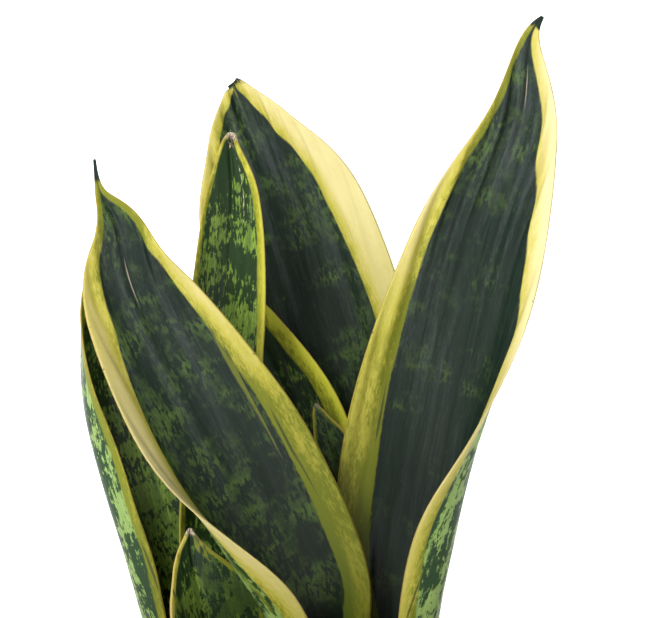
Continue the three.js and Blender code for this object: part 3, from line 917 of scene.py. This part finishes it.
def mix_finish(colours):
    """Dark, crumbly mix with lighter clods and bark."""
    recipe = Recipe("potting_mix_finish")
    place = recipe.spot()
    clods = recipe.grain(place, scale=160, detail=5, rough=0.7)
    fibres = recipe.grain(place, scale=600, detail=3)
    skin = recipe.blend(clods.above(0.52, 0.12), colours.mix_dark, colours.mix_brown)
    skin = recipe.blend(fibres.above(0.64, 0.05) * 0.6, skin, colours.mix_bark)
    bump = recipe.relief(clods + fibres * 0.4, 0.7, 0.001)
    return recipe.finish({
        "Base Color": skin, "Roughness": 0.92 + (fibres - 0.5) * 0.1, "Normal": bump,
        "Specular IOR Level": 0.2,
    })


def root_finish(colours):
    """Pale root skin with brown rings."""
    recipe = Recipe("root_skin")
    place = recipe.spot()
    rings = recipe.grain(place, scale=120, detail=4)
    skin = recipe.blend(rings.above(0.5, 0.15), colours.root, colours.mix_bark)
    return recipe.finish({"Base Color": skin, "Roughness": 0.7, "Normal": recipe.relief(rings, 0.5, 0.001)})


def place_piece(mesh, name, material, node):
    """Puts a finished mesh on the frame's body, in the place of its node."""
    if not mesh.polygons:
        raise RuntimeError(name + " came out empty")
    piece = bpy.data.objects.new(name, mesh)
    bpy.context.collection.objects.link(piece)
    mesh.materials.append(material)
    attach(piece, "root")
    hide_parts(node)
    return piece


# The backdrop, in metres: where its floor starts and its sweep begins, the sweep's radius and steps, and
# how high and how far to each side it reaches.
FLOOR_START, SWEEP_START = -4.0, 5.5
SWEEP_RADIUS, SWEEP_STEPS = 1.5, 16
BACKDROP_TOP, BACKDROP_HALF = 5.0, 5.0
WORLD_LIGHT = 0.34


def backdrop_mesh():
    """A floor that sweeps up into a backdrop behind."""
    turns = [math.pi / 2 * step / SWEEP_STEPS for step in range(SWEEP_STEPS + 1)]
    profile = [(FLOOR_START, 0.0)]
    for turn in turns:
        across, lift = SWEEP_RADIUS * math.sin(turn), SWEEP_RADIUS * math.cos(turn)
        profile.append((SWEEP_START + across, SWEEP_RADIUS - lift))
    profile.append((SWEEP_START + SWEEP_RADIUS, BACKDROP_TOP))
    mesh = bmesh.new()
    lines = [[mesh.verts.new((x, y, z)) for y, z in profile] for x in (-BACKDROP_HALF, BACKDROP_HALF)]
    for index in range(len(profile) - 1):
        mesh.faces.new((lines[0][index], lines[1][index], lines[1][index + 1], lines[0][index + 1]))
    return smooth_data("backdrop", mesh)


def colour(title, words, value):
    return FloatVectorProperty(
        name=title, description=words, subtype="COLOR", size=3, min=0, max=1, default=value,
    )


class SnakePlantColours(bpy.types.PropertyGroup):
    leaf_dark: colour("Leaf dark", "Inner face, darkest green", (0.0060, 0.0140, 0.0105))
    leaf_deep: colour("Leaf deep", "Inner face, a little lighter", (0.010, 0.021, 0.013))
    leaf_vein: colour("Leaf vein", "Fine lines along the inner face", (0.022, 0.034, 0.027))
    leaf_mid: colour("Leaf mid", "Mottling on the inner face", (0.088, 0.150, 0.030))
    leaf_bright: colour("Leaf bright", "Bright mottling", (0.21, 0.32, 0.045))
    leaf_back: colour("Leaf back", "Outer face, pale green", (0.29, 0.40, 0.125))
    leaf_moss: colour("Leaf moss", "Dark ground between bright mottling", (0.017, 0.042, 0.008))
    leaf_back_mid: colour("Leaf back mid", "Outer face, streaks", (0.17, 0.28, 0.075))
    leaf_back_dark: colour("Leaf back dark", "Outer face, dark patches", (0.018, 0.05, 0.016))
    gold: colour("Gold", "Edge bands", (0.525, 0.452, 0.145))
    cream: colour("Cream", "Lights in the edge bands", (0.66, 0.58, 0.29))
    lime: colour("Lime", "Greener stretches of the edge bands", (0.43, 0.385, 0.055))
    lime_bright: colour("Bright lime", "Edge bands of the leaf between the others", (0.56, 0.58, 0.025))
    olive: colour("Olive", "Unripe edge bands", (0.165, 0.180, 0.012))
    # Painted sheen: grey streaks on the dark leaves that stand in for soft highlights, partly a waxy coating.
    bloom_and_sheen: colour("Bloom", "Waxy grey bloom on the dark leaves", (0.050, 0.060, 0.064))
    # Painted shade: multiplied over the lower leaves, where less light reaches down into the rosette.
    shade: colour("Shade", "Tint low on the leaves, where they stay darker", (0.34, 0.38, 0.20))
    rim: colour("Rim", "Thin line on the leaf's edge", (0.34, 0.20, 0.06))
    dry: colour("Dry tip", "Dried tips", (0.14, 0.085, 0.05))
    straw: colour("Straw", "Pale fibres of a dried tip", (0.62, 0.52, 0.40))
    clay: colour("Clay", "Pot", (0.30, 0.105, 0.050))
    clay_light: colour("Clay light", "Pot, paler patches", (0.36, 0.145, 0.075))
    clay_dark: colour("Clay dark", "Specks in the clay", (0.22, 0.09, 0.05))
    clay_bloom: colour("Clay bloom", "Pale mineral bloom", (0.50, 0.36, 0.28))
    mix_dark: colour("Mix dark", "Potting mix", (0.014, 0.009, 0.006))
    mix_brown: colour("Mix brown", "Potting mix, lighter clods", (0.05, 0.03, 0.018))
    mix_bark: colour("Bark", "Bark and fibre in the mix", (0.16, 0.09, 0.045))
    root: colour("Root", "Rootstock skin", (0.50, 0.33, 0.16))


def distance(title, words, value):
    return FloatProperty(
        name=title, description=words, unit="LENGTH", precision=4, min=0.0001, default=value,
    )


class SnakePlantSizes(bpy.types.PropertyGroup):
    leaf_thickness: distance("Leaf thickness", "At the midrib, high on the leaf", 0.0026)
    leaf_steps: IntProperty(name="Steps along", description="Sections along each leaf", min=20, default=150)
    leaf_across: IntProperty(
        name="Steps across", description="Spans across each leaf face", min=8, default=44,
    )
    pot_height: distance("Pot height", "From its underside to its rim", round(POT_BOX[1].z, 4))
    pot_mouth: distance("Mouth radius", "Outside, at the rim", round(POT_BOX[1].x, 4))
    pot_foot: distance("Foot radius", "Outside, at the underside", 0.054)
    pot_wall: distance("Wall", "Thickness of the wall", 0.006)
    pot_floor: distance("Floor", "Thickness of the floor", 0.008)
    pot_collar: distance("Collar", "Height of the collar", 0.026)
    pot_step: distance("Collar step", "How far the collar stands out", 0.004)
    pot_drain: distance("Drain hole", "Radius of each drain hole", 0.006)
    pot_drain_ring: distance("Drain ring", "How far each drain hole is from the middle", 0.026)
    pot_mix_depth: distance("Rim above mix", "How far the mix lies below the rim", 0.018)
    crumbs: IntProperty(name="Crumbs", description="Crumbs and chips on the mix", min=0, default=1500)


class SnakePlantStage(bpy.types.PropertyGroup):
    distance: FloatProperty(name="Camera distance", description="From the plant", default=1.5, unit="LENGTH")
    elevation: FloatProperty(
        name="Elevation", description="Angle above level", default=math.radians(12), subtype="ANGLE",
    )
    lens: FloatProperty(name="Lens", description="Focal length in millimetres", default=197.8, unit="CAMERA")
    aim: FloatVectorProperty(
        name="Aim", description="Point looked at", default=(0.010, 0.0, 0.290), subtype="TRANSLATION",
    )
    key: FloatProperty(name="Key light", description="Main soft light", default=56.0, unit="POWER")
    fill: FloatProperty(name="Sheen light", description="Low light from the left", default=12.0, unit="POWER")
    backdrop: FloatProperty(
        name="Backdrop light", description="Light on the backdrop", default=650.0, unit="POWER",
    )


def grow_leaves(scene, shoot):
    grown = [(name, design) for name, design in LEAVES.items() if design["shoot"] == shoot]
    if not grown:
        raise RuntimeError("no leaf belongs to the shoot " + shoot)
    for name, design in grown:
        mesh = leaf_mesh(name, design, scene.snake_plant_sizes)
        material = leaf_finish(name + "_finish", design, scene.snake_plant_colours)
        place_piece(mesh, name, material, design["node"])


class SNAKE_PLANT_OT_tall_leaves(bpy.types.Operator):
    """Grows the leaves of the tall shoot"""
    bl_idname = "snake_plant.tall_leaves"
    bl_label = "Tall Shoot"

    def execute(self, context):
        grow_leaves(context.scene, "tall")
        return {"FINISHED"}


class SNAKE_PLANT_OT_side_leaves(bpy.types.Operator):
    """Grows the leaves of the side shoot"""
    bl_idname = "snake_plant.side_leaves"
    bl_label = "Side Shoot"

    def execute(self, context):
        grow_leaves(context.scene, "side")
        return {"FINISHED"}


class SNAKE_PLANT_OT_dry_tip(bpy.types.Operator):
    """Frays the dried end of the upright side leaf"""
    bl_idname = "snake_plant.dry_tip"
    bl_label = "Dry Tip"

    def execute(self, context):
        design = LEAVES["side_upright_leaf"]
        finish = fibre_finish(context.scene.snake_plant_colours)
        place_piece(fibre_mesh(design), "dry_tip_fibres", finish, design["node"])
        return {"FINISHED"}


class SNAKE_PLANT_OT_pot(bpy.types.Operator):
    """Turns the clay pot"""
    bl_idname = "snake_plant.pot"
    bl_label = "Pot"

    def execute(self, context):
        mesh = pot_mesh(context.scene.snake_plant_sizes)
        place_piece(mesh, "clay_pot", clay_finish(context.scene.snake_plant_colours), "pot")
        return {"FINISHED"}


class SNAKE_PLANT_OT_mix(bpy.types.Operator):
    """Fills the pot with crumbly mix"""
    bl_idname = "snake_plant.mix"
    bl_label = "Potting Mix"

    def execute(self, context):
        mesh = mix_mesh(context.scene.snake_plant_sizes)
        place_piece(mesh, "crumbly_mix", mix_finish(context.scene.snake_plant_colours), "potting_mix")
        return {"FINISHED"}


class SNAKE_PLANT_OT_rootstock(bpy.types.Operator):
    """Shapes the rootstock in the mix"""
    bl_idname = "snake_plant.rootstock"
    bl_label = "Rootstock"

    def execute(self, context):
        finish = root_finish(context.scene.snake_plant_colours)
        place_piece(rootstock_mesh(), "knobbly_rootstock", finish, "rootstock")
        return {"FINISHED"}


class SNAKE_PLANT_OT_stage(bpy.types.Operator):
    """Sets the floor, the lights and the camera"""
    bl_idname = "snake_plant.stage"
    bl_label = "Stage"

    def execute(self, context):
        scene = context.scene
        stage = scene.snake_plant_stage
        backdrop = bpy.data.objects.new("backdrop", backdrop_mesh())
        context.collection.objects.link(backdrop)
        recipe = Recipe("backdrop_paint")
        place = recipe.spot()
        tone = recipe.grain(place, scale=3, detail=2)
        paint = recipe.blend(tone, (0.86, 0.86, 0.86), (0.9, 0.9, 0.9))
        backdrop.data.materials.append(recipe.finish({"Base Color": paint, "Roughness": 0.9}))
        world = bpy.data.worlds.new("studio")
        world.use_nodes = True
        background = world.node_tree.nodes["Background"]
        background.inputs["Color"].default_value = (1, 1, 1, 1)
        background.inputs["Strength"].default_value = WORLD_LIGHT
        scene.world = world
        aim = Vector(stage.aim)
        for name, place, size, power in (
            ("key_light", (-1.1, -1.5, 1.9), 1.0, stage.key),
            ("sheen_light", (-0.75, -1.5, 0.8), 0.45, stage.fill),
            ("back_light", (0.4, 1.8, 2.0), 1.6, stage.key / 10),
            ("backdrop_light", (0.0, 4.5, 4.0), 5.0, stage.backdrop),
        ):
            lamp = bpy.data.lights.new(name, "AREA")
            lamp.size = size
            lamp.energy = power
            holder = bpy.data.objects.new(name, lamp)
            holder.location = place
            toward = Vector((0, 4.5, 0)) if name == "backdrop_light" else aim
            holder.rotation_euler = (toward - Vector(place)).to_track_quat("-Z", "Y").to_euler()
            context.collection.objects.link(holder)
        lens = bpy.data.cameras.new("camera")
        lens.lens = stage.lens
        lens.sensor_width = 36
        lens.clip_end = 50
        camera = bpy.data.objects.new("camera", lens)
        back = Vector((0, -math.cos(stage.elevation), math.sin(stage.elevation)))
        camera.location = aim + back * stage.distance
        camera.rotation_euler = (-back).to_track_quat("-Z", "Y").to_euler()
        context.collection.objects.link(camera)
        scene.camera = camera
        scene.view_settings.view_transform = "Standard"
        return {"FINISHED"}


OPERATORS = (
    SNAKE_PLANT_OT_tall_leaves, SNAKE_PLANT_OT_side_leaves, SNAKE_PLANT_OT_dry_tip, SNAKE_PLANT_OT_pot,
    SNAKE_PLANT_OT_mix, SNAKE_PLANT_OT_rootstock, SNAKE_PLANT_OT_stage,
)
GROUPS = (
    ("snake_plant_sizes", SnakePlantSizes), ("snake_plant_colours", SnakePlantColours),
    ("snake_plant_stage", SnakePlantStage),
)


class SNAKE_PLANT_PT_panel(bpy.types.Panel):
    """Sizes, colours and building steps of the snake plant"""
    bl_idname = "SNAKE_PLANT_PT_panel"
    bl_label = "Snake Plant"
    bl_space_type = "VIEW_3D"
    bl_region_type = "UI"
    bl_category = "Snake Plant"

    def draw(self, context):
        column = self.layout.column(align=True)
        for operator in OPERATORS:
            column.operator(operator.bl_idname)
        for name, group in GROUPS:
            box = self.layout.box()
            for title in group.__annotations__:
                box.prop(getattr(context.scene, name), title)


CLASSES = tuple(group for _, group in GROUPS) + OPERATORS + (SNAKE_PLANT_PT_panel,)


def register():
    for one in CLASSES:
        bpy.utils.register_class(one)
    for name, group in GROUPS:
        setattr(bpy.types.Scene, name, PointerProperty(type=group))


def unregister():
    for name, _ in GROUPS:
        delattr(bpy.types.Scene, name)
    for one in reversed(CLASSES):
        bpy.utils.unregister_class(one)


def main():
    register()
    bpy.ops.snake_plant.tall_leaves()
    bpy.ops.snake_plant.side_leaves()
    bpy.ops.snake_plant.dry_tip()
    bpy.ops.snake_plant.pot()
    bpy.ops.snake_plant.mix()
    bpy.ops.snake_plant.rootstock()
    bpy.ops.snake_plant.stage()


if __name__ == "__main__":
    main()
